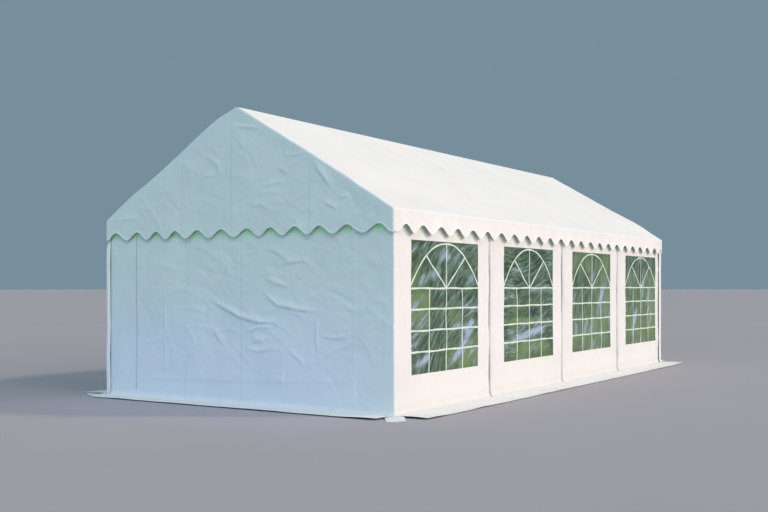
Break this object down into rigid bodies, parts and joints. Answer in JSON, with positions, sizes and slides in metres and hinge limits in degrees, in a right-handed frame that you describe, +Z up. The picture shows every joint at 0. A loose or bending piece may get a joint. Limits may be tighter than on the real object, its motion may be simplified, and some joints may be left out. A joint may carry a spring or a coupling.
{
  "type": "marquee tent",
  "caption": "Gable-roofed party marquee with a scalloped valance, arched window panels in its sides, zipped end walls and a ground skirt, on a frame of galvanised tubes.",
  "frame": {"origin": "on the ground, at the middle of the tent", "axes": "+X across the tent to its right side, +Y along the ridge from the front gable to the back, +Z up"},
  "size_m": [4.7, 8.49, 3.147],
  "materials": {
    "cloth": "coated white cloth, satin, with soft creases",
    "window_film": "clear flexible film, glossy and slightly wavy",
    "window_bars": "white bars printed on the film",
    "zip": "coil zips with small sliders",
    "cord": "white elastic ties",
    "galvanised_steel": "dull galvanised tube"
  },
  "bodies": {
    "root": {"roof_cover": "cloth", "gable_front": "cloth", "gable_back": "cloth", "wall_right_1": "cloth", "wall_right_2": "cloth", "wall_right_3": "cloth", "wall_right_4": "cloth", "wall_left_1": "cloth", "wall_left_2": "cloth", "wall_left_3": "cloth", "wall_left_4": "cloth", "window_right_1": "window_film", "window_right_2": "window_film", "window_right_3": "window_film", "window_right_4": "window_film", "window_left_1": "window_film", "window_left_2": "window_film", "window_left_3": "window_film", "window_left_4": "window_film", "end_wall_front": "cloth", "end_wall_back": "cloth", "door_curtain_front": "cloth", "door_curtain_back": "cloth", "leg_right_1": "galvanised_steel", "leg_right_2": "galvanised_steel", "leg_right_3": "galvanised_steel", "leg_right_4": "galvanised_steel", "leg_right_5": "galvanised_steel", "leg_left_1": "galvanised_steel", "leg_left_2": "galvanised_steel", "leg_left_3": "galvanised_steel", "leg_left_4": "galvanised_steel", "leg_left_5": "galvanised_steel", "rafter_right_1": "galvanised_steel", "rafter_right_2": "galvanised_steel", "rafter_right_3": "galvanised_steel", "rafter_right_4": "galvanised_steel", "rafter_right_5": "galvanised_steel", "rafter_left_1": "galvanised_steel", "rafter_left_2": "galvanised_steel", "rafter_left_3": "galvanised_steel", "rafter_left_4": "galvanised_steel", "rafter_left_5": "galvanised_steel", "ridge_rail": "galvanised_steel", "ridge_hub_1": "galvanised_steel", "ridge_hub_2": "galvanised_steel", "ridge_hub_3": "galvanised_steel", "ridge_hub_4": "galvanised_steel", "ridge_hub_5": "galvanised_steel", "eaves_rail_right": "galvanised_steel", "eaves_rail_left": "galvanised_steel", "purlin_right": "galvanised_steel", "purlin_left": "galvanised_steel", "gable_bar_front": "galvanised_steel", "gable_bar_back": "galvanised_steel"}
  },
  "joints": []
}
